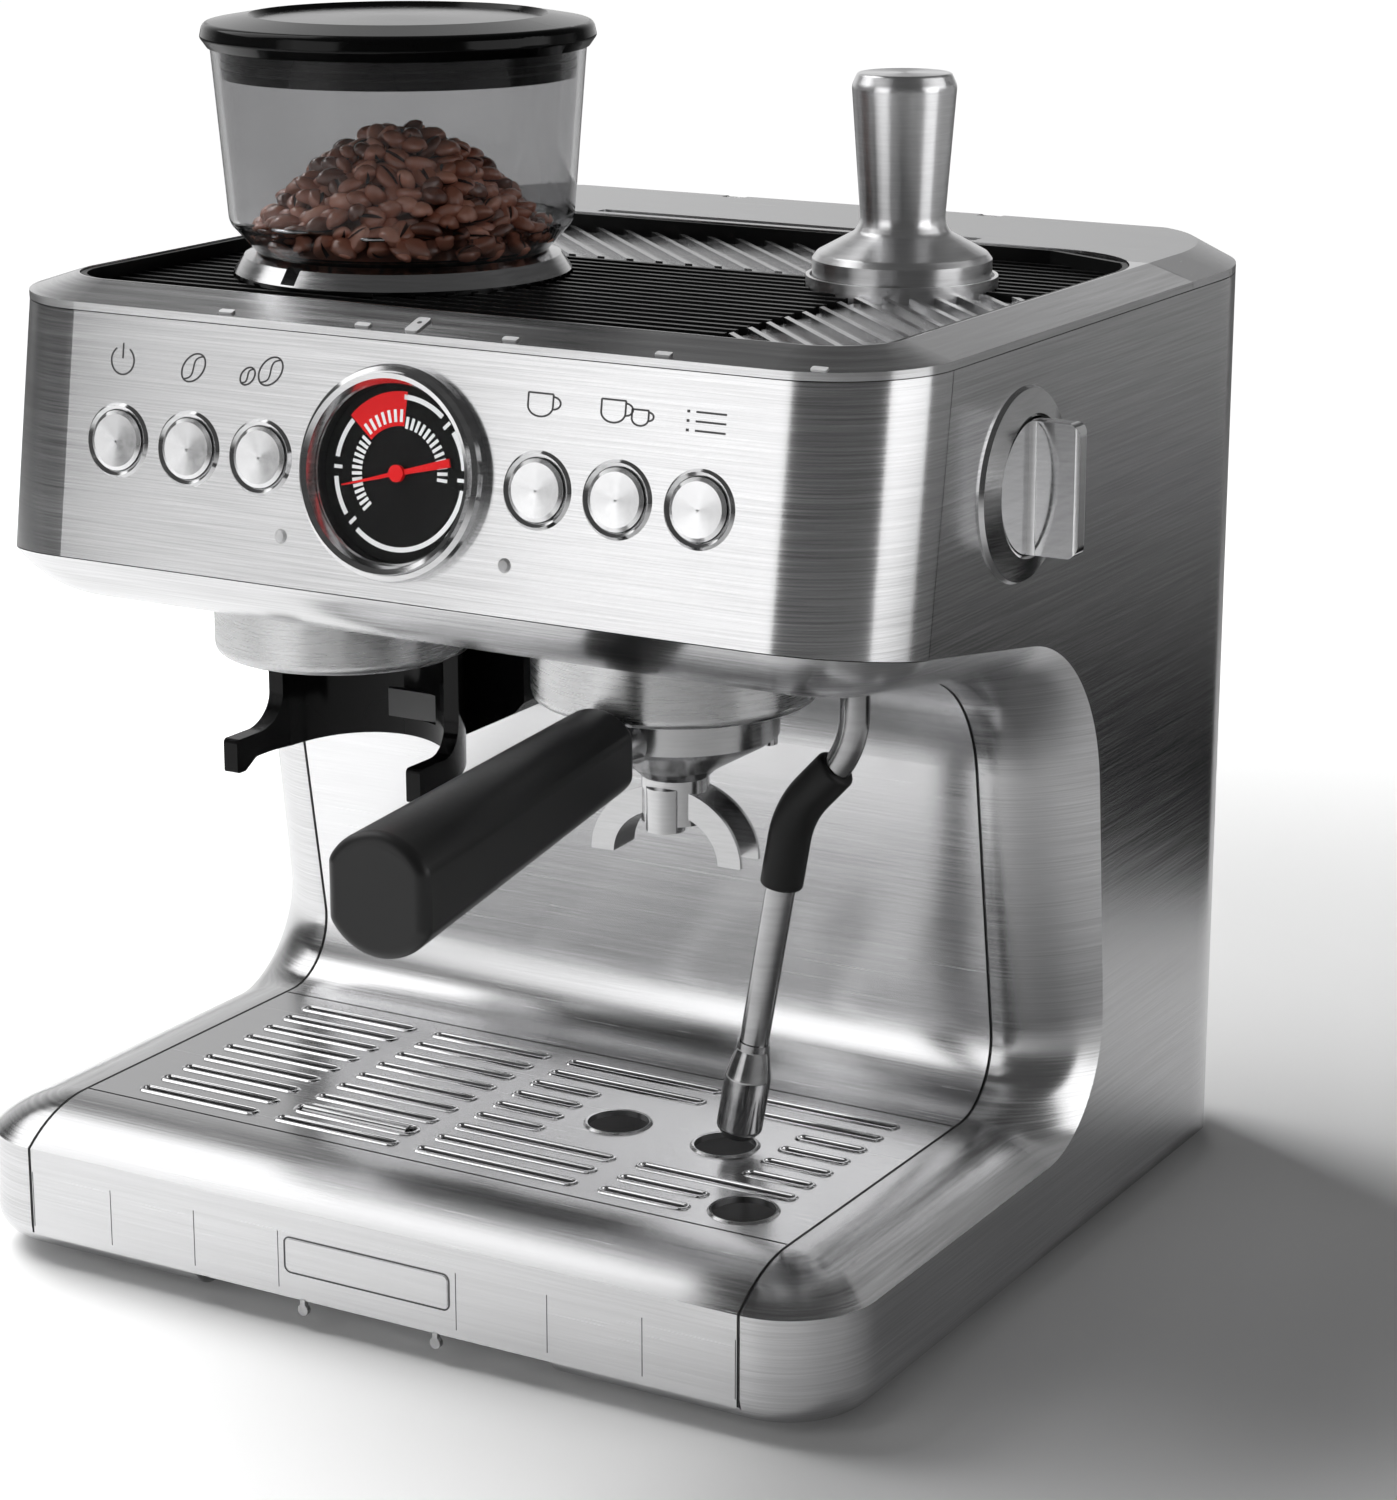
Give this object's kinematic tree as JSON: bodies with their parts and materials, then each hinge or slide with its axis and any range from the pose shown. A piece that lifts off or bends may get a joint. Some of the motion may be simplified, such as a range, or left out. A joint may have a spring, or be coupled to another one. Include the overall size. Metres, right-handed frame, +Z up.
{
  "type": "espresso machine with grinder",
  "caption": "Brushed-steel countertop espresso machine with built-in bean grinder, hopper, portafilter, steam wand, drip tray, tamper and water tank.",
  "frame": {"origin": "on the table under the middle of the housing's footprint, the handle and knob left out", "axes": "+Z up, -Y towards the user's side (control panel), +X to the user's right (steam knob side)"},
  "size_m": [0.3456, 0.4134, 0.3985],
  "materials": {
    "base_plate": "satin",
    "brew_wall": "horizontally brushed",
    "bulkhead": "satin",
    "button_rings": "polished",
    "control_board": "satin",
    "cup_tray": "fine matte",
    "cup_tray_insert": "horizontally brushed",
    "double_cup_button": "polished",
    "double_grind_button": "polished",
    "drip_grate": "horizontally brushed",
    "drip_tray_basin": "fine matte",
    "drip_tray_front": "horizontally brushed",
    "filter_basket": "horizontally brushed",
    "front_panel": "horizontally brushed",
    "gauge_bezel": "polished",
    "gauge_dial": "fine matte",
    "gauge_lens": "clear",
    "gauge_needle": "satin",
    "grind_switch": "fine matte",
    "grinder_body": "cast",
    "grinder_collar": "horizontally brushed",
    "grinder_cradle": "gloss",
    "grinder_motor": "satin",
    "group_collar": "horizontally brushed",
    "group_gasket": "matte",
    "group_head": "cast",
    "head_skirt": "horizontally brushed",
    "hopper_bowl": "clear smoke tint",
    "hopper_lid": "gloss",
    "hopper_ring": "polished",
    "indicator_lights": "diffusing",
    "knob_bezel": "polished",
    "left_side_panel": "horizontally brushed",
    "lower_burr": "horizontally brushed",
    "menu_button": "polished",
    "portafilter_body": "polished",
    "portafilter_handle": "fine matte",
    "portafilter_spout": "polished",
    "power_button": "polished",
    "rear_panel": "horizontally brushed",
    "right_side_panel": "horizontally brushed",
    "rubber_feet": "matte",
    "shower_screen": "horizontally brushed",
    "single_cup_button": "polished",
    "single_grind_button": "polished",
    "steam_grip": "matte",
    "steam_knob": "polished",
    "steam_tip": "horizontally brushed",
    "steam_tube": "polished",
    "steam_valve": "machined",
    "tamper": "horizontally brushed",
    "tamper_socket": "horizontally brushed",
    "tank_lid": "horizontally brushed",
    "thermoblock": "cast",
    "top_frame": "horizontally brushed",
    "tray_float": "polished",
    "upper_burr": "horizontally brushed",
    "wand_socket": "polished",
    "water_pump": "satin",
    "water_tank": "clear smoke tint"
  },
  "bodies": {
    "body": {"base_plate": "base_plate", "brew_wall": "brew_wall", "bulkhead": "bulkhead", "button_rings": "button_rings", "control_board": "control_board", "cup_tray": "cup_tray", "cup_tray_insert": "cup_tray_insert", "front_panel": "front_panel", "gauge_bezel": "gauge_bezel", "gauge_dial": "gauge_dial", "gauge_lens": "gauge_lens", "grinder_body": "grinder_body", "grinder_collar": "grinder_collar", "grinder_cradle": "grinder_cradle", "grinder_motor": "grinder_motor", "group_collar": "group_collar", "group_gasket": "group_gasket", "group_head": "group_head", "head_skirt": "head_skirt", "indicator_lights": "indicator_lights", "knob_bezel": "knob_bezel", "left_side_panel": "left_side_panel", "rear_panel": "rear_panel", "right_side_panel": "right_side_panel", "rubber_feet": "rubber_feet", "shower_screen": "shower_screen", "steam_valve": "steam_valve", "tamper_socket": "tamper_socket", "thermoblock": "thermoblock", "top_frame": "top_frame", "wand_socket": "wand_socket", "water_pump": "water_pump"},
    "needle": {"gauge_needle": "gauge_needle"},
    "knob": {"steam_knob": "steam_knob"},
    "wand": {"steam_tube": "steam_tube", "steam_grip": "steam_grip", "steam_tip": "steam_tip"},
    "portafilter": {"portafilter_body": "portafilter_body", "filter_basket": "filter_basket", "portafilter_handle": "portafilter_handle", "portafilter_spout": "portafilter_spout"},
    "drip_tray": {"drip_tray_basin": "drip_tray_basin", "drip_tray_front": "drip_tray_front", "drip_grate": "drip_grate"},
    "float": {"tray_float": "tray_float"},
    "hopper": {"hopper_bowl": "hopper_bowl", "hopper_ring": "hopper_ring", "upper_burr": "upper_burr"},
    "hopper_cover": {"hopper_lid": "hopper_lid"},
    "burr": {"lower_burr": "lower_burr"},
    "tamper": {"tamper": "tamper"},
    "tank": {"water_tank": "water_tank"},
    "tank_cover": {"tank_lid": "tank_lid"},
    "grind_trigger": {"grind_switch": "grind_switch"},
    "power": {"power_button": "power_button"},
    "single_grind": {"single_grind_button": "single_grind_button"},
    "double_grind": {"double_grind_button": "double_grind_button"},
    "single_cup": {"single_cup_button": "single_cup_button"},
    "double_cup": {"double_cup_button": "double_cup_button"},
    "menu": {"menu_button": "menu_button"}
  },
  "joints": [
    {"name": "gauge_needle_turn", "type": "hinge", "parent": "body", "child": "needle", "pos_m": [0, -0.13898, 0.27323], "axis": [0, 0.9877, -0.1564], "range_deg": [-30, 195]},
    {"name": "steam_knob_turn", "type": "hinge", "parent": "body", "child": "knob", "pos_m": [0.163, -0.0465, 0.27], "axis": [1, 0, 0], "range_deg": [-90, 90]},
    {"name": "steam_wand_swing", "type": "hinge", "parent": "body", "child": "wand", "pos_m": [0.1187, -0.068, 0.2], "axis": [0, 0, 1], "range_deg": [-15, 70]},
    {"name": "portafilter_turn", "type": "hinge", "parent": "body", "child": "portafilter", "pos_m": [0.0558, -0.069, 0.2], "axis": [0, 0, 1], "range_deg": [-45, 0]},
    {"name": "drip_tray_pull", "type": "slide", "parent": "body", "child": "drip_tray", "axis": [0, -1, 0], "range_m": [0, 0.14]},
    {"name": "tray_float_rise", "type": "slide", "parent": "drip_tray", "child": "float", "axis": [0, 0, 1], "range_m": [0, 0.006]},
    {"name": "grind_size_turn", "type": "hinge", "parent": "body", "child": "hopper", "pos_m": [-0.0712, -0.0286, 0.3], "axis": [0, 0, 1], "range_deg": [-45, 45]},
    {"name": "hopper_lid_lift", "type": "slide", "parent": "hopper", "child": "hopper_cover", "axis": [0, 0, 1], "range_m": [0, 0.06]},
    {"name": "burr_spin", "type": "hinge", "parent": "body", "child": "burr", "pos_m": [-0.0712, -0.0286, 0.3], "axis": [0, 0, 1], "continuous": true},
    {"name": "tamper_lift", "type": "slide", "parent": "body", "child": "tamper", "axis": [0, 0, 1], "range_m": [0, 0.08]},
    {"name": "water_tank_lift", "type": "slide", "parent": "body", "child": "tank", "axis": [0, 0, 1], "range_m": [0, 0.22]},
    {"name": "tank_lid_open", "type": "hinge", "parent": "tank", "child": "tank_cover", "pos_m": [0, 0.16125, 0.31575], "axis": [-1, 0, 0], "range_deg": [0, 80]},
    {"name": "grind_trigger_push", "type": "slide", "parent": "body", "child": "grind_trigger", "axis": [0, 1, 0], "range_m": [0, 0.0025], "stiffness_N_per_m": 300},
    {"name": "power_press", "type": "slide", "parent": "body", "child": "power", "axis": [0, 0.9877, -0.1564], "range_m": [0, 0.0015], "stiffness_N_per_m": 600},
    {"name": "single_grind_press", "type": "slide", "parent": "body", "child": "single_grind", "axis": [0, 0.9877, -0.1564], "range_m": [0, 0.0015], "stiffness_N_per_m": 600},
    {"name": "double_grind_press", "type": "slide", "parent": "body", "child": "double_grind", "axis": [0, 0.9877, -0.1564], "range_m": [0, 0.0015], "stiffness_N_per_m": 600},
    {"name": "single_cup_press", "type": "slide", "parent": "body", "child": "single_cup", "axis": [0, 0.9877, -0.1564], "range_m": [0, 0.0015], "stiffness_N_per_m": 600},
    {"name": "double_cup_press", "type": "slide", "parent": "body", "child": "double_cup", "axis": [0, 0.9877, -0.1564], "range_m": [0, 0.0015], "stiffness_N_per_m": 600},
    {"name": "menu_press", "type": "slide", "parent": "body", "child": "menu", "axis": [0, 0.9877, -0.1564], "range_m": [0, 0.0015], "stiffness_N_per_m": 600}
  ]
}
